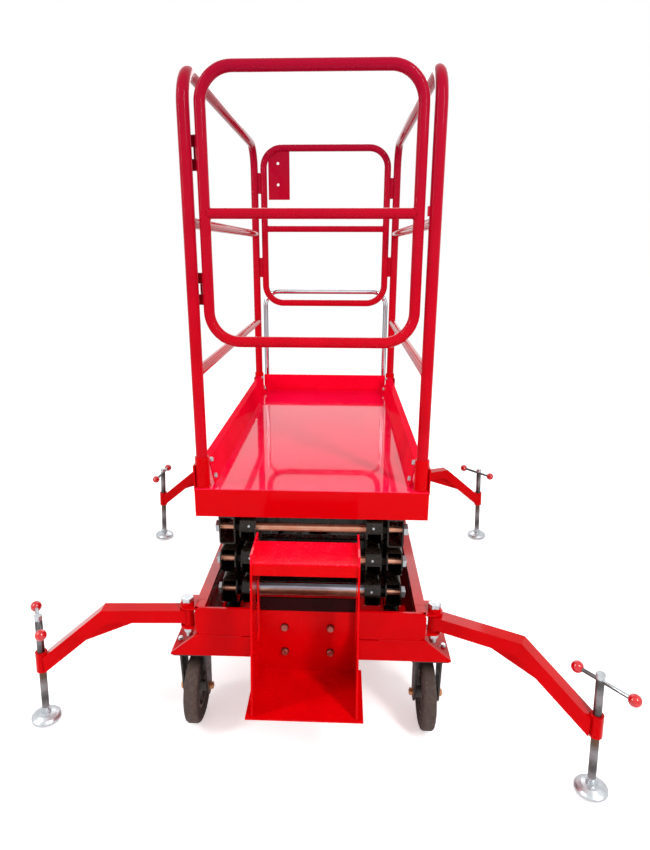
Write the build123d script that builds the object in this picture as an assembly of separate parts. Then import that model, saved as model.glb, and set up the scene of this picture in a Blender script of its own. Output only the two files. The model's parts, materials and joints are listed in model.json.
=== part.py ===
from build123d import *
import math
import os

os.makedirs("parts", exist_ok=True)

# A small push-around scissor lift, folded. Millimetres, X across, -Y the entry
# end with the gate and step, +Y the push-handle end, Z up from the floor.
# The pieces are placed about the middle of the deck and moved together at the
# end, so that the origin is on the floor under the middle of the footprint.

# ---- clearances ----
run_gap = 0.05          # radial gap of a pin in its bore
face_gap = 0.4          # end gap between a turning part and what holds it
eye_play = 2.0          # radial play of the rod's eye on its pin
gate_gap = 10.0         # air between a gate and its posts
roller_gap = 0.3        # under and over a roller in its track

# ---- platform ----
deck_length = 1180.0
deck_width = 620.0
deck_top = 700.0
deck_skirt = 78.0       # depth of the fascia and side skirts
deck_sheet = 4.0
deck_edge = 3.0         # rounding where the deck folds down
deck_flange = 48.0      # from the deck's side to the skirt's inner edge
rib_count = 3
rib_width = 50.0
rib_depth = 30.0
toe_height = 70.0
toe_sheet = 4.0
toe_lean = 14.0         # how far the side boards lean out on the way up
toe_in = 48.0           # foot of the side boards from the deck's side
toe_lip = 12.0          # the turned-down edge of their top
toe_top = 21.0          # width of their top
rear_board_in = 18.0
rear_board_lift = 8.0

# ---- guardrails ----
post_d = 30.0
rail_d = 27.0
gate_d = 27.0
gate_bar_d = 25.0
socket_d = 38.0
socket_height = 84.0
socket_floor = 2.0
socket_chamfer = 1.5
socket_in = 6.0         # air between a socket and the deck's end
strap_sheet = 3.0
strap_width = 32.0
strap_height = 70.0
rail_top = 1711.0       # centre lines
rail_mid = 1373.0
rail_low = 1009.0
rail_bend = 90.0
gate_top = 1704.0
gate_bottom = 1089.0
gate_mid = 1393.0
gate_bend = 75.0
hinge_d = 12.0
hinge_pin_d = 6.0
hinge_length = 78.0
hinge_leaf = 6.0
hinge_in = 22.0         # hinge line from the post's centre
hinge_heights = (1217.0, 1528.0)
rear_plate_half = 40.0
rear_plates = ((-1, 1236.5), (-1, 1570.5), (1, 1240.0), (1, 1550.5))
panel_width = 87.0
panel_height = 190.0
panel_sheet = 6.0
panel_side_gap = 6.0
panel_hole_d = 11.0
panel_hole_in = 39.5
panel_hole_drops = (51.0, 132.0)
catch_height = 22.0

# ---- scissor pack ----
levels = 3
row_pitch = 96.0        # pin rows of the folded pack
pin_base = 292.0        # height of the lowest pins
pin_in_front = 30.0     # pins from the deck's ends
pin_in_rear = 50.2
lift_angle = 40.0       # turn of an arm from folded to raised
arm_width = 44.0
arm_depth = 78.0
arm_wall = 4.0
arm_corner = 7.0
outer_x = 227.0         # centre planes of the outer and inner arms
inner_x = 170.0
pin_d = 18.0
shaft_d = 21.0
low_shaft_d = 32.0
boss_d = 36.0
collar_d = 34.0
head_d = 30.0
head_thick = 6.0
nut_across = 30.0
nut_thick = 12.0
thread_out = 2.0
roller_d = 60.0
roller_width = 18.0
track_width = 52.0
tie_in = 130.0          # front ties, from the front pins
tie_drop = 10.0
tie_depth = 40.0
tie_height = 50.0
tie_corner = 6.0
tie_ear_x = 44.0
tie_ear_sheet = 12.0
tie_ear_depth = 30.0
tie_ear_rise = 38.0
rear_tie_in = 132.0
rear_tie_d = 45.0
bracket_length = 150.0

# ---- base frame ----
rail_outer = 310.0
rail_flange = 28.0
rail_web = 6.0
frame_top = 390.0
frame_bottom = 247.0
front_overhang = 106.0  # frame ends beyond the arms' pins
rear_overhang = 110.2
beam_depth = 84.0
beam_thick = 40.0
beam_round = 12.0
cross_width = 60.0
cross_depth = 40.0
riser_half = 200.0
riser_height = 25.0
deck_plate_width = 764.0
deck_plate_depth = 130.0
deck_plate_sheet = 6.0
slit_from = 128.0       # slits under the beams
slit_to = 185.0
slit_height = 3.0
belly_sheet = 4.0
base_plate = 12.0
base_plate_half = 30.0

# ---- wheels ----
wheel_r = 100.0
wheel_width = 38.0
hub_r = 60.0
tread_flat = 22.0
shoulder = 10.0
wheel_in = 55.0         # wheel's plane from the side of its deck plate
wheel_set = 53.0        # front wheels from the frame's end
swivel_set = 75.0
swivel_trail = 40.0
fork_inner = 62.0
fork_sheet = 5.0
fork_depth = 48.0
crown_depth = 72.0
axle_d = 12.0
axle_nut = 9.0
top_plate = 5.0
top_plate_size = 100.0
swivel_race_d = 62.0
swivel_race = 11.0
hub_web = 8.0
hub_rim = 8.0
hub_ribs = 8
boss_r = 16.0

# ---- outriggers ----
pivot_out = 24.0        # pivot from the frame's side
pivot_in_front = 30.0
pivot_in_rear = 270.0
pivot_tube_d = 32.0
pivot_bolt_d = 18.0
lug_low = 322.0
lug_high = 376.0
lug_sheet = 6.0
lug_d = 44.0
lug_tail = 45.0
lug_boss_d = 34.0
lug_boss = 11.0
bolt_head = 11.0
bolt_nut = 14.0
bolt_end = 16.0
arm_tube = 38.0
arm_start = 4.0
gusset_from = 131.0     # start and end of the stiffener under the bend
gusset_to = 300.0
gusset_sheet = 8.0
arm_axis = 353.0
arm_bend_at = 225.0
arm_slope = 40.4
arm_reach = 431.0       # pad's centre from the pivot
jack_lean = 3.0
sleeve_seat = 13.0      # end of the arm's tube from the sleeve's axis
sleeve_d = 32.0
sleeve_low = 170.0
sleeve_high = 230.0
screw_d = 20.0
screw_top = 346.0
cap_across = 19.5
cap_height = 11.0
tee_height = 327.0
tee_half = 73.0
tee_d = 10.0
knob_d = 30.0
pad_d = 80.0
pad_lift = 6.0
pad_rim = 9.0
pad_dome = 13.0
pad_neck_d = 28.0
pad_neck = 12.0

# ---- step ----
step_x = -4.0
step_half = 128.5
step_depth = 117.0
step_top = 592.0
step_sheet = 5.0
step_lip = 31.0
step_edge = 5.0
cheek_top = 616.0
step_flare = 65.0       # how far the cheeks run out towards the floor
step_foot = 209.0
foot_half = 145.0
foot_out = 5.0
back_top = 430.0
hole_width = 50.0       # oval in each cheek
hole_low = 331.0
hole_high = 504.0
hole_in = 49.0

# ---- push handle ----
handle_d = 20.0
handle_in = 42.0
handle_top = 1130.0
handle_low = 260.0
handle_bend = 60.0
handle_off = 14.0
saddle_half = 14.0
saddle_heights = (285.0, 368.0)

# ---- lift cylinder ----
foot_back = 200.9       # foot pin and rod eye from the arms' crossing
foot_z = 262.0
eye_on = 103.4
eye_rise = 30.0
eye_d = 44.0
eye_half = 22.0
eye_ear = 10.0
eye_tube_d = 38.0
eye_tube_on = 48.0
barrel_d = 70.0
rod_d = 36.0
barrel_length = 235.0
foot_ear = 10.0
foot_eye_half = 35.0
foot_inner = 40.0
unit_half = 200.0       # power unit, closed, as one plain mass
unit_length = 220.0
unit_depth = 36.0

# ---- places that follow from the sizes ----
half_l = deck_length / 2
half_w = deck_width / 2
deck_low = deck_top - deck_skirt
post_x = half_w - socket_d / 2
post_y = half_l - socket_d / 2 - socket_in
gate_half = post_x - post_d / 2 - gate_gap - gate_d / 2
hinge_x = post_x - post_d / 2 - gate_gap / 2
pin_front = -half_l + pin_in_front
pin_rear = half_l - pin_in_rear
pin_mid = (pin_front + pin_rear) / 2
arm_length = math.hypot(pin_rear - pin_front, row_pitch)
fold_angle = math.degrees(math.atan2(row_pitch, pin_rear - pin_front))
rows = [pin_base + n * row_pitch for n in range(levels + 1)]
raised_y = pin_front + arm_length * math.cos(math.radians(fold_angle + lift_angle))
track_from = raised_y - roller_d
frame_front = pin_front - front_overhang
frame_rear = pin_rear + rear_overhang
wheel_x = deck_plate_width / 2 - wheel_in
front_wheel_y = frame_front + wheel_set
swivel_y = frame_rear - swivel_set
pivot_x = rail_outer + pivot_out
pivot_front = frame_front + pivot_in_front
pivot_rear = frame_rear - pivot_in_rear
foot_y = pin_mid - foot_back
eye_y = pin_mid + eye_on

# name, side, pivot y, turn from straight out, turn of the tee bar, slip of the bar in its hole
outriggers = [
    ("front_left", -1, pivot_front, 2.5, 121.0, 6.0),
    ("front_right", 1, pivot_front, 27.0, 125.0, -12.0),
    ("rear_left", -1, pivot_rear, -14.5, 85.0, -9.0),
    ("rear_right", 1, pivot_rear, -24.0, 131.0, 12.0),
]

parts = {}


def block(x0, x1, y0, y1, z0, z1):
    """Axis-aligned box between two corners."""
    return Pos((x0 + x1) / 2, (y0 + y1) / 2, (z0 + z1) / 2) * Box(
        abs(x1 - x0), abs(y1 - y0), abs(z1 - z0))


def bar_x(x0, x1, y, z, d):
    return Pos((x0 + x1) / 2, y, z) * Rot(0, 90, 0) * Cylinder(d / 2, abs(x1 - x0))


def bar_y(x, y0, y1, z, d):
    return Pos(x, (y0 + y1) / 2, z) * Rot(90, 0, 0) * Cylinder(d / 2, abs(y1 - y0))


def bar_z(x, y, z0, z1, d):
    return Pos(x, y, (z0 + z1) / 2) * Cylinder(d / 2, abs(z1 - z0))


def bent_tube(points, bend, d, closed=False):
    """Round tube along a polyline with bent corners."""
    path = FilletPolyline(*points, radius=bend, close=closed)
    start = path @ 0
    return sweep(Plane(origin=start, z_dir=path % 0) * Circle(d / 2), path=path)


def side_plate(points, x0, x1):
    """Plate whose outline is given as (y, z) points, from x0 to x1."""
    face = make_face(Polyline(*[(0, y, z) for y, z in points], close=True))
    return Pos(x0, 0, 0) * extrude(face, amount=x1 - x0, dir=(1, 0, 0))


def end_plate(points, y0, y1):
    """Plate whose outline is given as (x, z) points, from y0 to y1."""
    face = make_face(Polyline(*[(x, 0, z) for x, z in points], close=True))
    return Pos(0, y0, 0) * extrude(face, amount=y1 - y0, dir=(0, 1, 0))


def turned(points):
    """Solid of revolution about Z from (radius, z) points."""
    return revolve(make_face(Polyline(*[(r, 0, z) for r, z in points], close=True)), Axis.Z)


def hex_x(x0, x1, y, z, across):
    nut = extrude(RegularPolygon(across / 2, 6, major_radius=False), abs(x1 - x0))
    return Pos(min(x0, x1), y, z) * Rot(0, 90, 0) * nut


def hex_z(x, y, z0, z1, across):
    return Pos(x, y, z0) * extrude(RegularPolygon(across / 2, 6, major_radius=False), z1 - z0)


def mirrored(shape):
    return mirror(shape, about=Plane.YZ)


def pair(shape):
    return Compound(children=[shape, mirrored(shape)])


def keep(name, *shapes):
    """Collect the solids of one node."""
    solids = []
    for shape in shapes:
        solids.extend(shape.solids())
    parts[name] = solids


# ================= platform =================
tray = block(-half_w, half_w, -half_l, half_l, deck_low, deck_top)
tray = fillet(tray.faces().sort_by(Axis.Z)[-1].edges(), deck_edge)
tray -= block(-half_w + deck_sheet, half_w - deck_sheet, -half_l + deck_sheet,
              half_l - deck_sheet, deck_low - 1, deck_top - deck_sheet)
for side in (-1, 1):
    tray += block(side * (half_w - deck_flange), side * (half_w - deck_sheet),
                  -half_l + deck_sheet, half_l - deck_sheet, deck_low, deck_low + deck_sheet)
for n in range(rib_count):
    y = half_l * (2 * (n + 1) / (rib_count + 1) - 1)
    tray += block(-half_w + deck_sheet, half_w - deck_sheet, y - rib_width / 2,
                  y + rib_width / 2, deck_top - rib_depth, deck_top - deck_sheet)
for side in (-1, 1):
    tray += block(side * (half_w - track_width), side * (half_w - deck_sheet), track_from,
                  half_l - deck_sheet, rows[-1] + roller_d / 2 + roller_gap, deck_low + deck_sheet)
keep("deck_tray", tray)

# side toe boards: a leaning sheet folded out at the top and down at its edge
toe_end = post_y - socket_d / 2 - 2.0
rise = toe_height - toe_sheet
slope = toe_lean / toe_height
fold = toe_in - toe_lean
board = [(toe_in, 0), (fold, toe_height), (fold - toe_top, toe_height),
         (fold - toe_top, toe_height - toe_lip), (fold - toe_top + toe_sheet, toe_height - toe_lip),
         (fold - toe_top + toe_sheet, rise), (fold - toe_sheet + slope * toe_sheet, rise),
         (toe_in - toe_sheet, 0)]
boards = []
for side in (-1, 1):
    boards.append(end_plate([(side * (half_w - inset), deck_top + h) for inset, h in board],
                            -toe_end, toe_end))
back = half_l - rear_board_in
board = [(back, deck_top + rear_board_lift), (back, deck_top + toe_height),
         (back + 15, deck_top + toe_height), (back + 15, deck_top + toe_height - 3),
         (back + 7, deck_top + toe_height - 3), (back + 7, deck_top),
         (back + toe_sheet, deck_top), (back + toe_sheet, deck_top + rear_board_lift)]
boards.append(side_plate(board, -post_x + socket_d / 2 + 2, post_x - socket_d / 2 - 2))
keep("toe_boards", *boards)

cup = turned([(0, 0), (socket_d / 2, 0), (socket_d / 2, socket_height - socket_chamfer),
              (socket_d / 2 - socket_chamfer, socket_height),
              (post_d / 2 + run_gap, socket_height), (post_d / 2 + run_gap, socket_floor),
              (0, socket_floor)])
sockets = []
for sx in (-1, 1):
    for sy in (-1, 1):
        x = sx * post_x
        y = sy * post_y
        socket = Pos(x, y, deck_top) * cup
        socket += block(sx * (half_w - 0.8), sx * (half_w + strap_sheet), y - strap_width / 2,
                        y + strap_width / 2, deck_top, deck_top - 8 + strap_height)
        socket += block(sx * half_w, sx * (half_w + strap_sheet), y - strap_width / 2,
                        y + strap_width / 2, deck_top - 8, deck_top)
        sockets.append(socket)
keep("post_sockets", *sockets)


def guard(side):
    """Side frame: one bent tube for posts and top rail, two lower rails."""
    x = side * post_x
    foot = deck_top + socket_floor
    hoop = bent_tube([(x, -post_y, foot), (x, -post_y, rail_top), (x, post_y, rail_top),
                      (x, post_y, foot)], rail_bend, post_d)
    for z in (rail_mid, rail_low):
        hoop += bar_y(x, -post_y, post_y, z, rail_d)
    return hoop


def gate_ring(y):
    ring = bent_tube([(-gate_half, y, gate_bottom), (-gate_half, y, gate_top),
                      (gate_half, y, gate_top), (gate_half, y, gate_bottom)],
                     gate_bend, gate_d, closed=True)
    ring += bar_x(-gate_half, gate_half, y, gate_mid, gate_bar_d)
    return ring


left_guard = guard(-1)
right_guard = guard(1)

# gate hinge: knuckles on the post above and below the gate's own knuckle
hinge_y = -post_y + hinge_in
knuckle = hinge_length / 3
leaf_back = hinge_y + hinge_leaf / 2
front_gate = gate_ring(-post_y)
for z in hinge_heights:
    for low in (z - 1.5 * knuckle, z + 0.5 * knuckle):
        high = low + knuckle
        leaf = bar_z(-hinge_x, hinge_y, low, high, hinge_d)
        leaf += block(-post_x, -hinge_x, leaf_back - hinge_leaf, leaf_back, low, high)
        leaf += block(-post_x - 5, -post_x + 5, -post_y, leaf_back, low, high)
        left_guard += leaf
    low = z - 0.5 * knuckle + face_gap
    high = z + 0.5 * knuckle - face_gap
    leaf = bar_z(-hinge_x, hinge_y, low, high, hinge_d)
    leaf += block(-hinge_x, -gate_half, leaf_back - hinge_leaf, leaf_back, low, high)
    leaf += block(-gate_half - 4, -gate_half + 4, -post_y, leaf_back, low, high)
    leaf -= bar_z(-hinge_x, hinge_y, low - 1, high + 1, hinge_pin_d + 2 * run_gap)
    front_gate += leaf
    left_guard += bar_z(-hinge_x, hinge_y, z - 1.5 * knuckle, z + 1.5 * knuckle, hinge_pin_d)
catch_x = post_x - post_d / 2
right_guard += block(catch_x - gate_gap / 2 + 0.5, catch_x + 2, -post_y - 6, -post_y + 6,
                     gate_mid - catch_height / 2 + 5, gate_mid + catch_height / 2 + 5)
keep("left_guard", left_guard)
keep("right_guard", right_guard)
keep("front_gate", front_gate)

rear_gate = gate_ring(post_y)
panel_x = -gate_half + gate_d / 2 + panel_side_gap
panel_top = gate_top - gate_d / 4
panel = block(panel_x, panel_x + panel_width, post_y - panel_sheet / 2, post_y + panel_sheet / 2,
              panel_top - panel_height, panel_top)
for drop in panel_hole_drops:
    panel -= bar_y(panel_x + panel_hole_in, post_y - panel_sheet, post_y + panel_sheet,
                   panel_top - drop, panel_hole_d)
rear_gate += panel
for side, z in rear_plates:
    rear_gate += block(side * (gate_half - 2), side * (post_x - post_d / 2 - run_gap),
                       post_y - panel_sheet / 2, post_y + panel_sheet / 2,
                       z - rear_plate_half, z + rear_plate_half)
keep("rear_gate", rear_gate)

# channels under the deck that carry the top front pins
bracket_y = pin_front - arm_depth / 2 + 9
channel = block(outer_x - arm_width / 2, outer_x + arm_width / 2, bracket_y,
                bracket_y + bracket_length, rows[-1] - arm_depth / 2, deck_low)
channel = fillet(channel.edges().filter_by(Axis.Y).sort_by(Axis.Z)[:2], arm_corner)
hollow = block(outer_x - arm_width / 2 + arm_wall, outer_x + arm_width / 2 - arm_wall,
               bracket_y - 1, bracket_y + bracket_length + 1,
               rows[-1] - arm_depth / 2 + arm_wall, deck_low - arm_wall)
channel -= fillet(hollow.edges().filter_by(Axis.Y).sort_by(Axis.Z)[:2], arm_corner - arm_wall)
channel -= bar_x(outer_x - arm_width, outer_x + arm_width, pin_front, rows[-1],
                 pin_d + 2 * run_gap)
keep("platform_brackets", pair(channel))

# ================= scissor pack =================


def arm_plane(x, y0, z0, y1, z1):
    """Frame midway between two pins: X from the first to the second, Z across."""
    run = math.hypot(y1 - y0, z1 - z0)
    return Plane(origin=(x, (y0 + y1) / 2, (z0 + z1) / 2),
                 x_dir=(0, (y1 - y0) / run, (z1 - z0) / run), z_dir=(1, 0, 0))


def section(width, depth, corner, half):
    """Rounded rectangle run along X."""
    return Rot(0, 90, 0) * extrude(RectangleRounded(width, depth, corner), half, both=True)


def arm(place, bushed):
    """Rectangular tube between two pins, round-nosed in side view."""
    reach = (arm_length + arm_depth) / 2 + 1
    outline = extrude(SlotCenterToCenter(arm_length, arm_depth), arm_width / 2, both=True)
    outside = section(arm_width, arm_depth, arm_corner, reach)
    inside = section(arm_width - 2 * arm_wall, arm_depth - 2 * arm_wall,
                     arm_corner - arm_wall, reach + 1)
    body = (outside & outline) - inside
    if bushed:
        lid = (outside & outline) - extrude(
            SlotCenterToCenter(arm_length, arm_depth - 2 * arm_wall), arm_width, both=True)
        body += lid & (Pos(0, arm_depth / 2, 0) * Box(2 * reach, arm_depth, arm_width))
    for at in (-arm_length / 2, 0.0, arm_length / 2):
        if bushed:
            body += Pos(at, 0, 0) * Cylinder(boss_d / 2, arm_width)
        body -= Pos(at, 0, 0) * Cylinder(pin_d / 2 + run_gap, arm_width + 2)
    return place * body


def outer_nut(y, z):
    """Thread end and hex nut outside the outer arm."""
    x = outer_x + arm_width / 2
    end = hex_x(x, x + nut_thick, y, z, nut_across)
    return end + bar_x(x, x + nut_thick + thread_out, y, z, pin_d - 2)


def collar(y, z):
    """Spacer between an inner and an outer arm."""
    return bar_x(inner_x + arm_width / 2 + face_gap, outer_x - arm_width / 2 - face_gap,
                 y, z, collar_d)


def pivot_pin(y, z):
    """Pin through an inner and an outer arm with its spacer collar and nut."""
    x0 = inner_x - arm_width / 2 - head_thick
    pin = bar_x(x0, outer_x + arm_width / 2, y, z, pin_d)
    pin += bar_x(x0, x0 + head_thick - face_gap, y, z, head_d)
    return pin + collar(y, z) + outer_nut(y, z)


def cross_shaft(y, z, middle):
    """One shaft from side to side at a row of front pins."""
    shaft = bar_x(-outer_x - arm_width / 2, outer_x + arm_width / 2, y, z, pin_d)
    reach = inner_x - arm_width / 2 - face_gap
    shaft += bar_x(-reach, reach, y, z, middle)
    end = collar(y, z) + outer_nut(y, z)
    return shaft + end + mirrored(end)


def roller_stub(x0, x1, y, z):
    """Headed stub through one arm with a roller on its end."""
    stub = bar_x(x0 - head_thick - face_gap, x1, y, z, pin_d)
    stub += bar_x(x0 - head_thick - face_gap, x0 - face_gap, y, z, head_d)
    return stub + bar_x(x1 - roller_width, x1, y, z, roller_d)


for k in range(levels):
    low = rows[k]
    high = rows[k + 1]
    mid = (low + high) / 2
    level = ("low", "middle", "top")[k]
    outer = arm(arm_plane(outer_x, pin_front, low, pin_rear, high), False)
    keep(f"{level}_outer_arms", pair(outer))
    inner = arm(arm_plane(inner_x, pin_front, high, pin_rear, low), True)
    across = arm_plane(0, pin_front, high, pin_rear, low)
    span = inner_x - arm_width / 2 + 1
    inner_pair = inner + mirrored(inner)
    at = -arm_length / 2 + tie_in
    inner_pair += across * Pos(at, -tie_drop, 0) * extrude(
        RectangleRounded(tie_depth, tie_height, tie_corner), span, both=True)
    inner_pair += across * Pos(arm_length / 2 - rear_tie_in, 0, 0) * Cylinder(
        rear_tie_d / 2, 2 * span)
    if k == 1:
        for side in (-1, 1):
            inner_pair += across * Pos(at, tie_ear_rise / 2 - tie_drop, side * tie_ear_x) * Box(
                tie_ear_depth, tie_ear_rise, tie_ear_sheet)
    shaft = cross_shaft(pin_front, high, low_shaft_d if k == 0 else shaft_d)
    centre = pivot_pin(pin_mid, mid)
    if k == 0:
        # ears for the cylinder's rod, on a tube behind the rod's sweep
        eye_at = (eye_y - pin_front) * arm_length / (pin_rear - pin_front) - arm_length / 2
        eye_place = across * Pos(eye_at, eye_rise, 0)
        rod_y = eye_place.position.Y
        rod_z = eye_place.position.Z
        inner_pair += eye_place * Pos(eye_tube_on, 0, 0) * Cylinder(eye_tube_d / 2, 2 * span)
        ear = Pos(eye_tube_on / 2, 0, 0) * extrude(SlotCenterToCenter(eye_tube_on, eye_d), eye_ear)
        for x in (-eye_half - eye_ear, eye_half):
            inner_pair += eye_place * Pos(0, 0, x) * ear
        eye_span = 2 * (eye_half + eye_ear)
        inner_pair -= eye_place * Cylinder(pin_d / 2 + run_gap, eye_span + 2)
        rod_pin = eye_place * Cylinder(pin_d / 2, eye_span + 4)
        stub = roller_stub(inner_x - arm_width / 2, rail_outer - rail_web - 1, pin_rear, low)
        keep(f"{level}_inner_pins", shaft, pair(stub), rod_pin)
    else:
        keep(f"{level}_inner_pins", shaft)
    keep(f"{level}_inner_arms", inner_pair)
    if k < levels - 1:
        keep(f"{level}_outer_pins", pair(centre), pair(pivot_pin(pin_rear, high)))
    else:
        stub = roller_stub(outer_x - arm_width / 2,
                           half_w - track_width + roller_width + 5, pin_rear, high)
        keep(f"{level}_outer_pins", pair(centre), pair(stub))

# ================= base frame =================
beam_low = frame_top - beam_depth
rails = []
for side in (-1, 1):
    x1 = side * rail_outer
    x0 = side * (rail_outer - rail_flange)
    y0 = frame_front + beam_thick
    y1 = frame_rear - beam_thick
    web = block(x1, x1 - side * rail_web, y0, y1, frame_bottom, frame_top)
    web += block(x0, x1, y0, y1, frame_top - rail_web, frame_top)
    web += block(x0, x1, y0, y1, frame_bottom, frame_bottom + rail_web)
    web += block(x0, x1, track_from, y1, frame_bottom, pin_base - roller_d / 2 - roller_gap)
    rails.append(web)
keep("side_rails", *rails)

beams = []
for y0, y1 in ((frame_front, frame_front + beam_thick), (frame_rear - beam_thick, frame_rear)):
    beam = block(-rail_outer, rail_outer, y0, y1, beam_low, frame_top)
    beam = fillet(beam.edges().filter_by(Axis.Y), beam_round)
    beam += block(-rail_outer + beam_round, rail_outer - beam_round, y0 + deck_plate_sheet,
                  y1 - deck_plate_sheet, frame_bottom, beam_low)
    beams.append(beam)
keep("end_beams", *beams)

foot_beam = foot_y - 65.0
cross_ys = (foot_beam, pin_front + 180.0, pin_mid + 260.0)
cross_low = frame_bottom - cross_depth
cross = []
for y in cross_ys:
    cross.append(block(-rail_outer, rail_outer, y - cross_width / 2, y + cross_width / 2,
                       cross_low, frame_bottom))
cross[1] += block(-riser_half, riser_half, cross_ys[1] - cross_width / 2,
                  cross_ys[1] + cross_width / 2, frame_bottom, frame_bottom + riser_height)
foot = block(-foot_inner - foot_ear, foot_inner + foot_ear, foot_beam, foot_beam + 10,
             frame_bottom, foot_z + eye_d / 2)
for side in (-1, 1):
    x0 = side * foot_inner
    x1 = side * (foot_inner + foot_ear)
    lug = block(x0, x1, foot_beam, foot_y, foot_z - eye_d / 2, foot_z + eye_d / 2)
    lug += bar_x(x0, x1, foot_y, foot_z, eye_d)
    lug -= bar_x(x0 - side, x1 + side, foot_y, foot_z, pin_d + 2 * run_gap)
    foot += lug
cross[0] += foot
keep("cross_members", *cross)
foot_pin_half = foot_inner + foot_ear + 4
keep("cylinder_foot_pin", bar_x(-foot_pin_half, foot_pin_half, foot_y, foot_z, pin_d))

# sheets that close the frame underneath, between the cross members
gaps = [(cross_ys[1], cross_ys[0]), (cross_ys[0], cross_ys[2]),
        (cross_ys[2], frame_rear - deck_plate_depth + cross_width / 2)]
belly = []
for y0, y1 in gaps:
    belly.append(block(-rail_outer, rail_outer, y0 + cross_width / 2, y1 - cross_width / 2,
                       frame_bottom - belly_sheet, frame_bottom))
well = foot_inner + foot_ear + 10
belly[1] -= block(-well, well, cross_ys[0], foot_y + barrel_d * 1.4, cross_low, frame_bottom + 1)
keep("belly_sheets", *belly)
unit_y = cross_ys[2] + cross_width / 2
keep("power_unit", block(-unit_half, unit_half, unit_y, unit_y + unit_length,
                         frame_bottom - belly_sheet - unit_depth, frame_bottom - belly_sheet))

plates = []
for end, y_out in ((-1, frame_front), (1, frame_rear)):
    half = deck_plate_width / 2
    plate = block(-half, half, y_out, y_out - end * deck_plate_depth,
                  frame_bottom - deck_plate_sheet, frame_bottom)
    inside = y_out - end * deck_plate_sheet
    flange = end_plate([(-half, frame_bottom), (half, frame_bottom), (rail_outer, beam_low),
                        (-rail_outer, beam_low)], min(y_out, inside), max(y_out, inside))
    for side in (-1, 1):
        flange -= block(side * slit_from, side * slit_to, y_out - 10, y_out + 10,
                        beam_low - slit_height, beam_low + 1)
    plates.append(plate + flange)
keep("caster_decks", *plates)

# base pivots of the low outer arms
base = []
for side in (-1, 1):
    x_pin = side * (outer_x - arm_width / 2 - face_gap)
    plate = block(x_pin - side * base_plate, x_pin, pin_front - base_plate_half,
                  pin_front + base_plate_half, frame_bottom, pin_base)
    plate += bar_x(x_pin - side * base_plate, x_pin, pin_front, pin_base, 2 * base_plate_half)
    plate += bar_x(x_pin, side * (rail_outer - rail_web), pin_front, pin_base, pin_d)
    base.append(plate)
keep("base_pivots", *base)

lugs = []
bolts = []
for name, side, y, turn, crank, slip in outriggers:
    x = side * pivot_x
    bore = bar_z(x, y, lug_low - 50, lug_high + 50, pivot_bolt_d + 2 * run_gap)
    top = lug_high + lug_sheet
    upper = block(side * rail_outer, x, y - lug_d / 2, y + lug_tail, lug_high, top)
    upper += bar_z(x, y, lug_high, top, lug_d)
    upper += bar_z(x, y, top, top + lug_boss, lug_boss_d)
    under = lug_low - lug_sheet
    lower = block(side * rail_outer, x, y - lug_d / 2, y + lug_d / 2, under, lug_low)
    lower += bar_z(x, y, under, lug_low, lug_d)
    lugs.append(upper - bore)
    lugs.append(lower - bore)
    bolt = bar_z(x, y, under - bolt_nut - bolt_end, top + lug_boss, pivot_bolt_d)
    bolt += hex_z(x, y, top + lug_boss, top + lug_boss + bolt_head, nut_across)
    bolt += hex_z(x, y, under - bolt_nut, under, nut_across - 2)
    bolts.append(bolt)
keep("outrigger_lugs", *lugs)
keep("outrigger_pivots", *bolts)

# step at the entry end: folded tread between two cheeks on a foot plate
step_back = frame_front
step_front = step_back - step_depth
toe_y = step_front - step_flare
x0 = step_x - step_half
x1 = step_x + step_half
tread = block(x0, x1, step_front, step_back, step_top - step_lip, step_top)
edge = tread.edges().filter_by(Axis.X).sort_by(Axis.Y)[:2].sort_by(Axis.Z)[-1]
tread = fillet(edge, step_edge)
tread -= block(x0 - 1, x1 + 1, step_front + step_sheet, step_back + 1,
               step_top - step_lip - 1, step_top - step_sheet)
step = tread + block(x0, x1, step_back - step_sheet, step_back, step_foot, back_top)
oval = extrude(SlotCenterToCenter(hole_high - hole_low - hole_width, hole_width),
               2 * step_sheet, both=True)
for x in (x0, x1):
    cheek = side_plate([(step_back, step_foot), (step_back, cheek_top), (step_front, cheek_top),
                        (toe_y, step_foot)], x - step_sheet / 2, x + step_sheet / 2)
    cheek -= Plane(origin=(x, step_back - hole_in, (hole_low + hole_high) / 2),
                   x_dir=(0, 0, 1), z_dir=(1, 0, 0)) * oval
    step += cheek
step += block(step_x - foot_half, step_x + foot_half, toe_y - foot_out, step_back,
              step_foot - step_sheet, step_foot)
keep("step_bracket", step)

# push handle at the other end, on four saddles
handle_x = rail_outer - handle_in
handle_y = frame_rear + handle_off
handle = bent_tube([(-handle_x, handle_y, handle_low), (-handle_x, handle_y, handle_top),
                    (handle_x, handle_y, handle_top), (handle_x, handle_y, handle_low)],
                   handle_bend, handle_d)
for x in (-handle_x, handle_x):
    for z in saddle_heights:
        handle += block(x - saddle_half, x + saddle_half, frame_rear, handle_y,
                        z - saddle_half / 2, z + saddle_half / 2)
keep("push_handle", handle)

# ================= wheels =================


def tyre(x, y):
    """Solid tyre with flat sides, rounded off to the tread in three steps."""
    half = wheel_width / 2
    flat = tread_flat / 2
    lip = 5.0
    side = [(hub_r, half - lip / 2), (hub_r + lip, half), (wheel_r - shoulder, half),
            (wheel_r - shoulder / 3, half - shoulder / 4), (wheel_r, flat)]
    outline = side + [(r, -a) for r, a in reversed(side)]
    return Pos(x, y, wheel_r) * Rot(0, 90, 0) * turned(outline)


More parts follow.
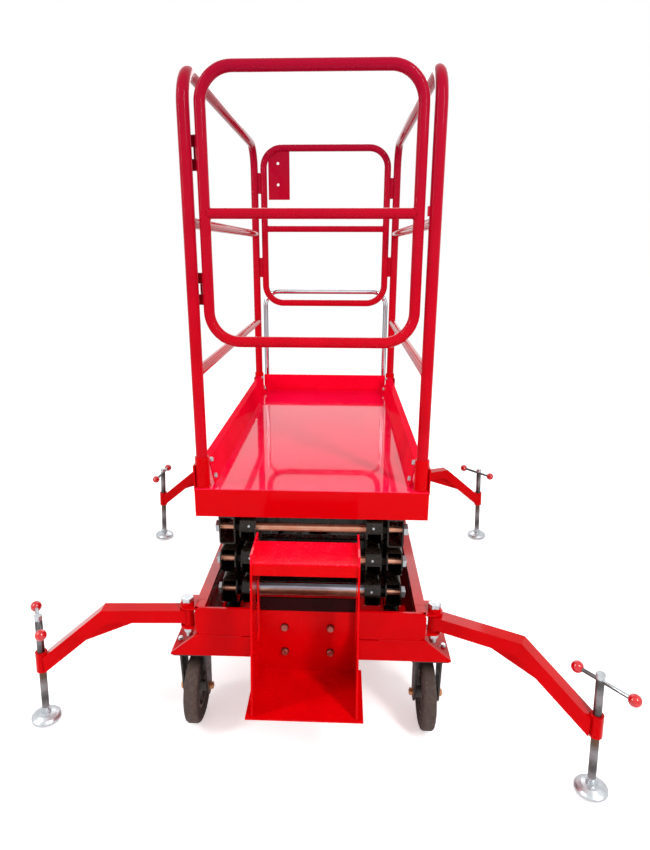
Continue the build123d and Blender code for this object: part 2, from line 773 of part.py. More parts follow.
def hub(x, y):
    """Rim, web and ribs round a bushed boss."""
    out = wheel_width / 2 - 4
    disc = turned([(0, -out + 6), (hub_r - hub_rim - 14, -hub_web / 2), (hub_r - hub_rim, -hub_web / 2),
                   (hub_r - hub_rim, -out), (hub_r - 0.05, -out), (hub_r - 0.05, out),
                   (hub_r - hub_rim, out), (hub_r - hub_rim, hub_web / 2),
                   (hub_r - hub_rim - 14, hub_web / 2), (0, out - 6)])
    disc += Cylinder(boss_r, fork_inner - 2 * face_gap)
    for n in range(hub_ribs):
        disc += Rot(0, 0, n * 360 / hub_ribs) * Pos((hub_r - hub_rim) / 2 + 3, 0, 0) * Box(
            hub_r - hub_rim, 4, 2 * out - 8)
    disc -= Cylinder(axle_d / 2 + run_gap, fork_inner)
    return Pos(x, y, wheel_r) * Rot(0, 90, 0) * disc


def fork(x, y, crown_y, top):
    """Two round-ended legs from a crown plate down to the axle."""
    half = fork_inner / 2
    back = crown_depth / 2
    body = block(x - half - fork_sheet, x + half + fork_sheet, crown_y - back, crown_y + back,
                 top - fork_sheet, top)
    tip = fork_depth / 2
    for side in (-1, 1):
        x0 = x + side * half
        x1 = x + side * (half + fork_sheet)
        body += side_plate([(crown_y - back, top), (crown_y + back, top), (y + tip, wheel_r),
                            (y - tip, wheel_r)], min(x0, x1), max(x0, x1))
        body += bar_x(x0, x1, y, wheel_r, fork_depth)
        body += hex_x(x1, x1 + side * axle_nut, y, wheel_r, 19.0)
    body += bar_x(x - half - fork_sheet - axle_nut - 2, x + half + fork_sheet + axle_nut + 2, y,
                  wheel_r, axle_d)
    return body


plate_low = frame_bottom - deck_plate_sheet
plate_half = top_plate_size / 2
race_low = plate_low - top_plate - swivel_race
front_forks = []
swivels = []
for name, side in (("left", -1), ("right", 1)):
    x = side * wheel_x
    body = fork(x, front_wheel_y, front_wheel_y, plate_low - top_plate)
    body += block(x - plate_half, x + plate_half, front_wheel_y - plate_half,
                  front_wheel_y + plate_half, plate_low - top_plate, plate_low)
    front_forks.append(body)
    keep(f"front_{name}_tyre", tyre(x, front_wheel_y))
    keep(f"front_{name}_hub", hub(x, front_wheel_y))
    race = block(x - plate_half, x + plate_half, swivel_y - plate_half, swivel_y + plate_half,
                 plate_low - top_plate, plate_low)
    race += bar_z(x, swivel_y, race_low, plate_low - top_plate, swivel_race_d)
    race += bar_z(x, swivel_y, race_low - 15, plate_low, axle_d)
    race += hex_z(x, swivel_y, race_low - 15, race_low - 7, 19.0)
    swivels.append(race)
    crown = race_low - face_gap
    yoke = fork(x, swivel_y + swivel_trail, swivel_y, crown)
    yoke -= bar_z(x, swivel_y, crown - fork_sheet - 3, crown + 1, axle_d + 2 * run_gap)
    keep(f"rear_{name}_fork", yoke)
    keep(f"rear_{name}_tyre", tyre(x, swivel_y + swivel_trail))
    keep(f"rear_{name}_hub", hub(x, swivel_y + swivel_trail))
keep("front_forks", *front_forks)
keep("swivel_plates", *swivels)

# ================= outriggers =================
upright = Pos(arm_reach, 0, 0) * Rot(0, -jack_lean, 0)
sleeve_mid = (sleeve_low + sleeve_high) / 2
arm_end = arm_reach - sleeve_mid * math.tan(math.radians(jack_lean)) - sleeve_seat


def outrigger_arm():
    """Arm along +X from its pivot, bent down to the jack sleeve."""
    slope = math.radians(arm_slope)
    half = arm_tube / 2

    def plate(points, width):
        return end_plate(points, -width / 2, width / 2)

    shift = half * math.tan(slope / 2)
    lift = half / math.cos(slope)
    end_z = arm_axis - (arm_end - arm_bend_at) * math.tan(slope)
    under = arm_axis - half
    body = plate([(arm_start, arm_axis + half), (arm_bend_at + shift, arm_axis + half),
                  (arm_end, end_z + lift), (arm_end, end_z - lift),
                  (arm_bend_at - shift, under), (arm_start, under)], arm_tube)
    bend_low = arm_bend_at - shift
    fall = (gusset_to - bend_low) * math.tan(slope)
    body += plate([(gusset_from, under), (gusset_to, under - fall), (gusset_to, under - fall + 2),
                   (bend_low, under + 2), (gusset_from, under + 2)], gusset_sheet)
    body += bar_z(0, 0, lug_low + face_gap, lug_high - face_gap, pivot_tube_d)
    body += upright * bar_z(0, 0, sleeve_low, sleeve_high, sleeve_d)
    body -= bar_z(0, 0, lug_low - 1, lug_high + 1, pivot_bolt_d + 2 * run_gap)
    body -= upright * bar_z(0, 0, sleeve_low - 80, sleeve_high + 80, screw_d + 2 * run_gap)
    return body


def jack(crank, slip):
    """Screw, tee bar and domed foot pad standing at the origin."""
    rim = pad_d / 2
    neck = pad_neck_d / 2
    top = pad_lift + pad_rim
    body = turned([(0, pad_lift), (rim - 2, pad_lift), (rim, pad_lift + 2), (rim, top),
                   (rim * 0.86, top + pad_dome * 0.4), (rim * 0.6, top + pad_dome * 0.8),
                   (neck, top + pad_dome), (neck, top + pad_dome + pad_neck),
                   (screw_d / 2, top + pad_dome + pad_neck), (screw_d / 2, screw_top - cap_height),
                   (0, screw_top - cap_height)])
    body += hex_z(0, 0, screw_top - cap_height, screw_top, cap_across)
    body += Pos(0, 0, tee_height) * Rot(0, 0, crank) * Pos(slip, 0, 0) * Rot(
        0, 90, 0) * Cylinder(tee_d / 2, 2 * tee_half)
    return body


def knobs(crank, slip):
    """Balls screwed on to the ends of the tee bar."""
    ball = Sphere(knob_d / 2) - bar_x(-knob_d, face_gap, 0, 0, tee_d + 2 * run_gap)
    return [Pos(0, 0, tee_height) * Rot(0, 0, crank) * Pos(slip, 0, 0) * Rot(
        0, 0, turn) * Pos(tee_half, 0, 0) * ball for turn in (0, 180)]


arm_shape = outrigger_arm()
for name, side, y, turn, crank, slip in outriggers:
    heading = -turn if side > 0 else 180 + turn
    place = Pos(side * pivot_x, y, 0) * Rot(0, 0, heading)
    keep(f"{name}_arm", place * arm_shape)
    stand = place * upright
    keep(f"{name}_jack", stand * jack(crank - heading, slip))
    keep(f"{name}_knobs", *[stand * ball for ball in knobs(crank - heading, slip)])

# ================= lift cylinder =================
reach = math.hypot(rod_y - foot_y, rod_z - foot_z)
along = arm_plane(0, foot_y, foot_z, rod_y, rod_z) * Pos(-reach / 2, 0, 0)
lie = Rot(0, 90, 0)
barrel = Cylinder(eye_d / 2, 2 * foot_eye_half)
barrel += Pos(25, 0, 0) * lie * Cylinder(20.0, 30)
barrel += Pos(30 + barrel_length / 2, 0, 0) * lie * Cylinder(barrel_d / 2, barrel_length - 20)
barrel -= Cylinder(pin_d / 2 + run_gap, 2 * foot_eye_half + 10)
barrel -= Pos(60 + reach / 2, 0, 0) * lie * Cylinder(rod_d / 2 + run_gap, reach)
keep("lift_barrel", along * barrel)
rod = Pos(reach, 0, 0) * Cylinder(eye_d / 2, 2 * (eye_half - face_gap))
rod += Pos((62 + reach) / 2, 0, 0) * lie * Cylinder(rod_d / 2, reach - 62)
rod -= Pos(reach, 0, 0) * Cylinder(pin_d / 2 + eye_play, 2 * eye_half + 10)
keep("lift_rod", along * rod)

boxes = [solid.bounding_box() for solids in parts.values() for solid in solids]
shift_x = -(min(b.min.X for b in boxes) + max(b.max.X for b in boxes)) / 2
shift_y = -(min(b.min.Y for b in boxes) + max(b.max.Y for b in boxes)) / 2
for name, solids in parts.items():
    placed = [Pos(shift_x, shift_y, 0) * solid for solid in solids]
    export_step(placed[0] if len(placed) == 1 else Compound(children=placed), f"parts/{name}.step")
print(len(parts), "nodes")
print("shift", round(shift_x, 4), round(shift_y, 4))
print("pins", round(pin_front, 2), round(pin_rear, 2), [round(z, 2) for z in rows])
print("arm", round(arm_length, 4), "fold", round(fold_angle, 4))
print("eye", round(rod_y, 3), round(rod_z, 3), "reach", round(reach, 3))
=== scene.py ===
import json
import math
import bpy
import numpy as np
from mathutils import Matrix, Vector


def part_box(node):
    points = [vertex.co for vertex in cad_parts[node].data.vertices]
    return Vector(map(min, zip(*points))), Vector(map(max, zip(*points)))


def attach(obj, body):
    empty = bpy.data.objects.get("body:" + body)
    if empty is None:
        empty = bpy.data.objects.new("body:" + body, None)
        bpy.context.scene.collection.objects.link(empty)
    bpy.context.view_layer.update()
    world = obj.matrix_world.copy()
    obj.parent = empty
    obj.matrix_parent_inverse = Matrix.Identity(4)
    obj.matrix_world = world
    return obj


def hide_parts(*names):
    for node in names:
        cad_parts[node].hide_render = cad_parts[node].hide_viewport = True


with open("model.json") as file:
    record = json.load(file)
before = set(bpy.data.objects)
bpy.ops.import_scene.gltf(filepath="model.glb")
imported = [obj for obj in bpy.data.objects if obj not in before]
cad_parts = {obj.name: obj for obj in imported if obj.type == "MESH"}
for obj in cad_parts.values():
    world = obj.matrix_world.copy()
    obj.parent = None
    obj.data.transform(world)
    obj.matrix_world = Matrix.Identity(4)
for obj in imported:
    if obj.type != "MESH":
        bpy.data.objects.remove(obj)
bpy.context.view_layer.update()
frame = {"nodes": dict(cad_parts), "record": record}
nodes = frame["nodes"]
deckLow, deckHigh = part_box("deck_tray")
middle = ((deckLow.x + deckHigh.x) / 2, (deckLow.y + deckHigh.y) / 2)  # every place below is from here
print("frame loaded,", len(nodes), "nodes")


def place(x, y, z):
    # millimetres from the deck's middle to metres in the frame
    return (middle[0] + x / 1000.0, middle[1] + y / 1000.0, z / 1000.0)


cameraSet = {"place": (76.5, -2045.9, 1312.9), "yaw": 2.31, "pitch": 16.08, "roll": 0.13,
             "lens": 25.263, "sensor": 36.0, "shiftX": 0.00847, "shiftY": -0.0048, "farEnd": 60.0}


def makeCamera(s):
    data = bpy.data.cameras.new("camera")
    data.lens = s["lens"]
    data.sensor_width = s["sensor"]
    data.shift_x = s["shiftX"]
    data.shift_y = s["shiftY"]
    data.clip_end = s["farEnd"]
    cam = bpy.data.objects.new("camera", data)
    bpy.context.collection.objects.link(cam)
    turn = Matrix.Rotation(math.radians(s["yaw"]), 4, "Z")
    tip = Matrix.Rotation(math.radians(90.0 - s["pitch"]), 4, "X")
    lean = Matrix.Rotation(math.radians(s["roll"]), 4, "Z")
    cam.matrix_world = Matrix.Translation(Vector(place(*s["place"]))) @ turn @ tip @ lean
    bpy.context.scene.camera = cam


makeCamera(cameraSet)
bpy.context.scene.view_settings.view_transform = "Standard"
print("camera placed")


def hexColour(code):
    # sRGB hex to linear
    out = []
    for i in (0, 2, 4):
        c = int(code[i:i + 2], 16) / 255.0
        out.append(c / 12.92 if c <= 0.04045 else ((c + 0.055) / 1.055) ** 2.4)
    return (*out, 1.0)


def addNode(tree, kind, properties=None, inputs=None):
    # inputs are numbers, hex colours or the sockets that feed them
    node = tree.nodes.new(kind)
    for key, value in (properties or {}).items():
        setattr(node, key, value)
    for key, value in (inputs or {}).items():
        if isinstance(value, bpy.types.NodeSocket):
            tree.links.new(value, node.inputs[key])
        else:
            node.inputs[key].default_value = hexColour(value) if isinstance(value, str) else value
    return node


def startMaterial(name, settings):
    # a material whose shader's own sockets hold the settings; returns it with its tree, shader and coordinates
    mat = bpy.data.materials.new(name)
    mat.use_nodes = True
    tree = mat.node_tree
    shader = tree.nodes["Principled BSDF"]
    for key, value in settings.items():
        shader.inputs[key].default_value = hexColour(value) if isinstance(value, str) else value
    coords = addNode(tree, "ShaderNodeTexCoord").outputs["Object"]
    return mat, tree, shader, coords


def finishMaterial(tree, shader, colour, rough, *bumps):
    # bumps are heights from 0 to 1 and their depths in mm, the broadest first
    tree.links.new(colour, shader.inputs["Base Color"])
    tree.links.new(rough, shader.inputs["Roughness"])
    under = None
    for height, depth in bumps:
        inputs = {"Height": height, "Strength": 1.0, "Distance": depth / 1000.0}
        if under:
            inputs["Normal"] = under
        under = addNode(tree, "ShaderNodeBump", {}, inputs).outputs[0]
    tree.links.new(under, shader.inputs["Normal"])


def blotches(tree, coords, size, low=0.0, high=1.0, detail=3.0, stretch=None, power=None):
    # noise with features of a size in mm, spread from low to high; a power leaves only its peaks
    if stretch:
        coords = addNode(tree, "ShaderNodeMapping", {}, {"Vector": coords, "Scale": stretch}).outputs[0]
    noise = addNode(tree, "ShaderNodeTexNoise", {}, {"Vector": coords, "Scale": 1000.0 / size, "Detail": detail})
    spread = {"Value": noise.outputs[0], "From Min": 0.3, "From Max": 0.7, "To Min": low, "To Max": high}
    value = addNode(tree, "ShaderNodeMapRange", {}, spread).outputs[0]
    if power:
        value = addNode(tree, "ShaderNodeMath", {"operation": "POWER", "use_clamp": True},
                        {0: value, 1: power}).outputs[0]
    return value


def blend(tree, colour, *coats):
    # a colour and the coats over it, each a mask and its own colour
    for mask, coat in coats:
        colour = addNode(tree, "ShaderNodeMix", {"data_type": "RGBA"}, {0: mask, 6: colour, 7: coat}).outputs[2]
    return colour


def overlap(tree, *masks):
    # where all the masks are
    value = masks[0]
    for mask in masks[1:]:
        value = addNode(tree, "ShaderNodeMath", {"operation": "MULTIPLY", "use_clamp": True},
                        {0: value, 1: mask}).outputs[0]
    return value


def zone(tree, value, low=None, high=None):
    # 1 past the low edge and short of the high one; an edge is its place and its softness, in the value's own measure
    masks = []
    for limit, first, last in ((low, 0.0, 1.0), (high, 1.0, 0.0)):
        if limit:
            at, soft = limit
            spread = {"Value": value, "From Min": at - soft, "From Max": at + soft, "To Min": first, "To Max": last}
            masks.append(addNode(tree, "ShaderNodeMapRange", {"interpolation_type": "SMOOTHSTEP"}, spread).outputs[0])
    return overlap(tree, *masks)


def away(tree, coords, axis, centre):
    # distance from a plane across one axis
    along = addNode(tree, "ShaderNodeSeparateXYZ", {}, {0: coords}).outputs[axis]
    gap = addNode(tree, "ShaderNodeMath", {"operation": "SUBTRACT"}, {0: along, 1: centre}).outputs[0]
    return addNode(tree, "ShaderNodeMath", {"operation": "ABSOLUTE"}, {0: gap}).outputs[0]


def glancing(tree, shader, most, least=0.0):
    # lacquer that is nearly clear from the front and mirrors the room at a shallow angle
    facing = addNode(tree, "ShaderNodeLayerWeight", {}, {"Blend": 0.5}).outputs["Facing"]
    spread = {"Value": facing, "From Min": 0.35, "From Max": 0.8, "To Min": least, "To Max": most}
    tree.links.new(addNode(tree, "ShaderNodeMapRange", {}, spread).outputs[0], shader.inputs["Coat Weight"])


enamelSet = {"colour": "D40008", "shade": "C80006", "tone": 90, "rough": (0.1, 0.2), "dull": 25, "peel": 3.0,
             "peelDepth": 0.02, "lacquer": 0.75, "front": 0.0, "lacquerIor": 1.7, "glint": 0.05}
# the guardrails' enamel is a darker, more crimson copy of the frame's: painted shade
railSet = {**enamelSet, "colour": "CC061C", "shade": "BE0416", "lacquer": 0.7, "front": 0.15, "lacquerIor": 1.35,
           "glint": 0.02, "upper": "98082A", "from": 1.0, "to": 1.8}
# the toe boards' enamel is a brighter, pinker copy of the frame's: painted light
boardSet = {**enamelSet, "colour": "F80A34", "shade": "EE042A", "lacquer": 0.1, "lacquerIor": 1.3, "glint": 0.0}


def redEnamel(name, s):
    # stoved gloss enamel on welded steel: a deep clean red with fine orange peel that breaks up its highlights;
    # on the guardrails it darkens to crimson towards their top, painted shade
    mat, tree, shader, coords = startMaterial(name, {"IOR": 1.45, "Specular IOR Level": s["glint"],
                                                     "Coat Roughness": 0.06, "Coat IOR": s["lacquerIor"]})
    glancing(tree, shader, s["lacquer"], s["front"])
    colour = blend(tree, s["colour"], (blotches(tree, coords, s["tone"]), s["shade"]))
    # painted shade: the guardrails darken to crimson towards their top
    if "upper" in s:
        height = addNode(tree, "ShaderNodeSeparateXYZ", {}, {0: coords}).outputs[2]
        spread = {"Value": height, "From Min": s["from"], "From Max": s["to"]}
        colour = blend(tree, colour, (addNode(tree, "ShaderNodeMapRange", {}, spread).outputs[0], s["upper"]))
    finishMaterial(tree, shader, colour, blotches(tree, coords, s["dull"], *s["rough"]),
                   (blotches(tree, coords, s["peel"]), s["peelDepth"]))
    return mat


deckSet = {"colour": "FC0846", "shade": "F4063E", "tone": 160, "top": (0.699, 0.0008), "lacquer": 0.75, "rub": "F05064",
           "rubSize": 7, "rubPatch": 120, "rough": (0.06, 0.16), "dull": 30, "wave": 140.0, "waveDepth": 0.35,
           "peel": 4, "peelDepth": 0.012}


def deckEnamel(s):
    # the same enamel flowed out on flat sheet: mirror gloss, with the sheet's slow waves and a few dull rubs;
    # its top is painted brighter and pinker than its edges, painted light
    mat, tree, shader, coords = startMaterial("deckEnamel", {"IOR": 1.45, "Specular IOR Level": 0.06,
                                                             "Coat Roughness": 0.03})
    height = addNode(tree, "ShaderNodeSeparateXYZ", {}, {0: coords}).outputs[2]
    top = zone(tree, height, s["top"])
    # painted light: the top's colour is a brighter, pinker copy of the enamel on the sheet's edges
    upper = blend(tree, s["colour"], (blotches(tree, coords, s["tone"]), s["shade"]))
    patches = overlap(tree, top, blotches(tree, coords, s["rubPatch"], -0.6, 0.8))
    rubs = overlap(tree, blotches(tree, coords, s["rubSize"], -0.6, 0.5, 8.0), patches)
    tree.links.new(overlap(tree, top, s["lacquer"]), shader.inputs["Coat Weight"])
    finishMaterial(tree, shader, blend(tree, enamelSet["colour"], (top, upper), (rubs, s["rub"])),
                   blotches(tree, coords, s["dull"], *s["rough"]),
                   (blotches(tree, coords, s["wave"], detail=1.0), s["waveDepth"]),
                   (blotches(tree, coords, s["peel"]), s["peelDepth"]))
    return mat


treadSet = {"colour": "DE0208", "shade": "D20006", "tone": 70, "lacquer": 0.8, "tread": "F80428",
            "top": (0.5905, 0.0003), "rub": "FFA0AE", "speck": 3.84615, "speckFrom": 0.58, "speckTo": 0.66,
            "rubPatch": 55, "scratch": "B2020A", "scratchSize": 10, "scratchShare": 0.3, "foot": (0.212, 0.001),
            "paintedShade": "2A0204", "paintedShadeFrom": (0.3915, 0.001), "paintedShadeTo": (0.44, 0.001), "sheet": 0.0055,
            "sheetSoft": 0.0003, "rough": (0.14, 0.34), "dull": 18, "peel": 5, "peelDepth": 0.03}


def stepEnamel(s):
    # enamel under boots: pale rubs across the middle of the tread and scratches on the foot plate; the tread's top
    # is painted brighter and pinker, painted light, and a dark band on the back plate's top is painted shade
    mat, tree, shader, coords = startMaterial("stepEnamel", {"IOR": 1.45, "Specular IOR Level": 0.06, "Coat IOR": 1.6,
                                                             "Coat Roughness": 0.08})
    glancing(tree, shader, s["lacquer"])
    _, along, height = addNode(tree, "ShaderNodeSeparateXYZ", {}, {0: coords}).outputs
    onTop = zone(tree, height, s["top"])
    specks = addNode(tree, "ShaderNodeTexNoise", {}, {"Vector": coords, "Scale": 1000.0 / s["speck"], "Detail": 10.0,
                                                      "Roughness": 0.75}).outputs[0]
    specks = addNode(tree, "ShaderNodeMapRange", {}, {"Value": specks, "From Min": s["speckFrom"],
                                                      "From Max": s["speckTo"]}).outputs[0]
    rubs = overlap(tree, specks, blotches(tree, coords, s["rubPatch"]), onTop)
    scratches = overlap(tree, blotches(tree, coords, s["scratchSize"], -1.8, 0.9, 7.0, (0.4, 1.0, 1.0)),
                        zone(tree, height, high=s["foot"]), s["scratchShare"])
    # painted shade: a dark band along the back plate's top, by its back face
    behind = overlap(tree, zone(tree, along, (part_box("step_bracket")[1].y - s["sheet"], s["sheetSoft"])),
                     zone(tree, height, s["paintedShadeFrom"], s["paintedShadeTo"]))
    # painted light: the tread's top is a brighter, pinker copy of the step's enamel
    colour = blend(tree, s["colour"], (blotches(tree, coords, s["tone"]), s["shade"]), (onTop, s["tread"]),
                   (rubs, s["rub"]), (scratches, s["scratch"]), (behind, s["paintedShade"]))
    finishMaterial(tree, shader, colour, blotches(tree, coords, s["dull"], *s["rough"]),
                   (blotches(tree, coords, s["peel"]), s["peelDepth"]))
    return mat


blackSet = {"colour": "0A0706", "worn": "1C1410", "grime": 35, "dust": "4A3A30", "dustSize": 5, "lacquer": 0.9,
            "front": 0.3, "rough": (0.16, 0.42), "dull": 15, "peel": 6, "peelDepth": 0.06}


def blackEnamel(s):
    # black gloss enamel on thick tube, brown where grease and dust lie on it
    mat, tree, shader, coords = startMaterial("blackEnamel", {"IOR": 1.5, "Specular IOR Level": 0.14, "Coat IOR": 1.6,
                                                              "Coat Roughness": 0.12, "Coat Tint": "E8D8C4"})
    glancing(tree, shader, s["lacquer"], s["front"])
    colour = blend(tree, s["colour"], (blotches(tree, coords, s["grime"], detail=6.0, power=2.0), s["worn"]),
                   (blotches(tree, coords, s["dustSize"], 0.0, 0.8, 8.0, power=3.0), s["dust"]))
    finishMaterial(tree, shader, colour, blotches(tree, coords, s["dull"], *s["rough"]),
                   (blotches(tree, coords, s["peel"], detail=4.0), s["peelDepth"]))
    return mat


pinSet = {"warm": "D08C70", "pale": "DCA68C", "reflectionMottle": 22, "steel": "B4BAC8", "washer": "16100C",
          "washerFrom": (0.1922, 0.0002), "washerTo": (0.2048, 0.0002), "zinc": "B8BCC0",
          "zincFrom": (0.249, 0.0002), "rough": (0.3, 0.4), "dull": 30, "lathe": 5.0, "latheDepth": 0.006}


def pinSteel(name, s, under=None):
    # turned steel: soft lathe rings, drawn coarse so that they show, a mottled coppery colour that is a painted
    # reflection of the red enamel, blackened washers and zinc nuts; under is the edge above which the top is pale
    # steel, a painted reflection of the bright room above
    mat, tree, shader, coords = startMaterial(name, {"Metallic": 0.8})
    out = away(tree, coords, 0, middle[0])
    # painted reflection: the warm and pale coppery colours stand for the red enamel mirrored in the steel
    coats = [(blotches(tree, coords, s["reflectionMottle"], detail=4.0), s["pale"])]
    if under:
        height = addNode(tree, "ShaderNodeSeparateXYZ", {}, {0: coords}).outputs[2]
        coats.append((zone(tree, height, under), s["steel"]))
    coats += [(zone(tree, out, s["washerFrom"], s["washerTo"]), s["washer"]),
              (zone(tree, out, s["zincFrom"]), s["zinc"])]
    finishMaterial(tree, shader, blend(tree, s["warm"], *coats), blotches(tree, coords, s["dull"], *s["rough"]),
                   (blotches(tree, coords, s["lathe"], detail=1.0, stretch=(1.0, 0.05, 0.05)), s["latheDepth"]))
    return mat


zincSet = {"colour": "D2D6DA", "dark": "B6BABE", "tone": 12, "rough": (0.3, 0.45), "dull": 6, "grain": 2.5,
           "grainDepth": 0.012, "thread": 4.0, "threadDepth": 0.8, "threadFrom": (0.046, 0.0005),
           "threadTo": (0.331, 0.0005), "threadColour": "8E8A8C", "groove": "35312F", "grooveShare": 0.75,
           "stain": "6A4A34", "stainShare": 0.7, "stainFrom": (0.140, 0.02), "stainTo": (0.172, 0.002)}


def zincPlate(name, s, threaded):
    # bright zinc plate; on the jacks a rolled thread, drawn a little coarse so that it shows, with brown grease by
    # the sleeve
    mat, tree, shader, coords = startMaterial(name, {"Metallic": 1.0})
    coats = [(blotches(tree, coords, s["tone"], detail=5.0), s["dark"])]
    bumps = [(blotches(tree, coords, s["grain"]), s["grainDepth"])]
    if threaded:
        height = addNode(tree, "ShaderNodeSeparateXYZ", {}, {0: coords}).outputs[2]
        wave = addNode(tree, "ShaderNodeTexWave", {"bands_direction": "Z"}, {
            "Vector": coords, "Scale": 50.0 / s["thread"] * math.pi / 10, "Distortion": 1.0, "Detail Scale": 30.0})
        screw = zone(tree, height, s["threadFrom"], s["threadTo"])
        ridge = overlap(tree, wave.outputs["Fac"], screw)
        groove = addNode(tree, "ShaderNodeMath", {"operation": "SUBTRACT"}, {0: screw, 1: ridge}).outputs[0]
        near = zone(tree, height, s["stainFrom"], s["stainTo"])
        # painted shade: the grooves between the thread's ridges are darkened
        coats += [(screw, s["threadColour"]), (overlap(tree, groove, s["grooveShare"]), s["groove"]),
                  (overlap(tree, near, s["stainShare"]), s["stain"])]
        bumps.append((ridge, s["threadDepth"]))
    finishMaterial(tree, shader, blend(tree, s["colour"], *coats),
                   blotches(tree, coords, s["dull"], *s["rough"]), *bumps)
    return mat


chromeSet = {"colour": "F0F2F6", "haze": "DCE2EA", "tone": 60, "paintedReflection": "4A3C42", "flankFrom": (0.3, 0.06),
             "flankTo": (0.62, 0.08), "rough": (0.04, 0.1), "dull": 30, "ripple": 8, "rippleDepth": 0.004}


def chromePlate(s):
    # polished chrome on the push handle: a mirror with the faintest haze and a dark band along its flank, a painted
    # reflection set by the angle it is seen at
    mat, tree, shader, coords = startMaterial("chromePlate", {"Metallic": 1.0})
    # painted reflection: a dark band partway round the handle, set by the facing angle
    facing = addNode(tree, "ShaderNodeLayerWeight", {}, {"Blend": 0.5}).outputs["Facing"]
    flank = zone(tree, facing, s["flankFrom"], s["flankTo"])
    colour = blend(tree, s["colour"], (blotches(tree, coords, s["tone"]), s["haze"]), (flank, s["paintedReflection"]))
    finishMaterial(tree, shader, colour, blotches(tree, coords, s["dull"], *s["rough"]),
                   (blotches(tree, coords, s["ripple"]), s["rippleDepth"]))
    return mat


rubberSet = {"tread": "463833", "dust": "564840", "dustSize": 10, "side": "221D1B", "scuff": 20,
             "shoulder": (0.091, 0.004), "rough": (0.55, 0.85), "dull": 8, "grain": 1.6, "grainDepth": 0.12,
             "ring": 5.0, "ringDepth": 0.15}


def wheelRubber(name, s, centre):
    # solid elastic rubber: brown-grey and dusty on the tread, darker on its walls, with fine moulding rings
    mat, tree, shader, coords = startMaterial(name, {"IOR": 1.5, "Specular IOR Level": 0.35})
    moved = addNode(tree, "ShaderNodeVectorMath", {"operation": "SUBTRACT"}, {0: coords, 1: centre}).outputs[0]
    flat = addNode(tree, "ShaderNodeVectorMath", {"operation": "MULTIPLY"}, {0: moved, 1: (0, 1, 1)}).outputs[0]
    radius = addNode(tree, "ShaderNodeVectorMath", {"operation": "LENGTH"}, {0: flat}).outputs["Value"]
    turns = addNode(tree, "ShaderNodeMath", {"operation": "MULTIPLY"}, {0: radius, 1: 2000 * math.pi / s["ring"]})
    rings = addNode(tree, "ShaderNodeMath", {"operation": "SINE"}, {0: turns.outputs[0]}).outputs[0]
    dusty = blend(tree, s["tread"], (blotches(tree, coords, s["dustSize"], detail=8.0, power=2.0), s["dust"]))
    colour = blend(tree, s["side"], (blotches(tree, coords, s["scuff"], 0.0, 0.6, 5.0), s["tread"]),
                   (zone(tree, radius, s["shoulder"]), dusty))
    finishMaterial(tree, shader, colour, blotches(tree, coords, s["dull"], *s["rough"]),
                   (blotches(tree, coords, s["grain"], detail=6.0), s["grainDepth"]), (rings, s["ringDepth"]))
    return mat


hubSet = {"colour": "5C5A58", "dust": "8A847C", "dustSize": 14, "rough": (0.4, 0.65), "dull": 10, "cast": 3,
          "castDepth": 0.15}


def hubPaint(s):
    # cast iron rim in grey machine paint, dusty between its ribs
    mat, tree, shader, coords = startMaterial("hubPaint", {"IOR": 1.5, "Specular IOR Level": 0.4})
    dust = blotches(tree, coords, s["dustSize"], detail=6.0, power=2.0)
    finishMaterial(tree, shader, blend(tree, s["colour"], (dust, s["dust"])),
                   blotches(tree, coords, s["dull"], *s["rough"]),
                   (blotches(tree, coords, s["cast"], detail=5.0), s["castDepth"]))
    return mat


forkSet = {"colour": "161412", "worn": "2C2622", "wear": 20, "nut": "C8946A", "nutFrom": (0.0362, 0.0003),
           "nutTop": (0.115, 0.001), "frontAcross": 0.327, "rough": (0.25, 0.5), "dull": 12, "press": 4,
           "pressDepth": 0.04}


def forkPaint(name, s, centres):
    # pressed steel fork in black, with yellow-passivated axle nuts at its sides
    mat, tree, shader, coords = startMaterial(name, {"IOR": 1.5})
    gaps = [away(tree, coords, 0, c) for c in centres]
    gap = gaps[0]
    if len(gaps) > 1:
        gap = addNode(tree, "ShaderNodeMath", {"operation": "MINIMUM", "use_clamp": True},
                      {0: gaps[0], 1: gaps[1]}).outputs[0]
    height = addNode(tree, "ShaderNodeSeparateXYZ", {}, {0: coords}).outputs[2]
    nut = overlap(tree, zone(tree, gap, s["nutFrom"]), zone(tree, height, high=s["nutTop"]))
    tree.links.new(nut, shader.inputs["Metallic"])
    colour = blend(tree, s["colour"], (blotches(tree, coords, s["wear"], detail=5.0), s["worn"]), (nut, s["nut"]))
    finishMaterial(tree, shader, colour, blotches(tree, coords, s["dull"], *s["rough"]),
                   (blotches(tree, coords, s["press"]), s["pressDepth"]))
    return mat


knobSet = {"colour": "E00818", "shade": "C00410", "tone": 12, "rough": (0.08, 0.18), "dull": 6, "flow": 3,
           "flowDepth": 0.01}


def knobPhenolic(s):
    # moulded phenolic balls: glassy red
    mat, tree, shader, coords = startMaterial("knobPhenolic", {"IOR": 1.55, "Coat Weight": 0.5, "Coat Roughness": 0.03})
    finishMaterial(tree, shader, blend(tree, s["colour"], (blotches(tree, coords, s["tone"]), s["shade"])),
                   blotches(tree, coords, s["dull"], *s["rough"]), (blotches(tree, coords, s["flow"]), s["flowDepth"]))
    return mat


copperSet = {"washer": "1C0C08", "head": "C08078", "dark": "8A5448", "tone": 5, "headAt": 0.6733,
             "headSoft": 0.0002, "rough": (0.3, 0.5), "dull": 4, "grain": 2, "grainDepth": 0.05}


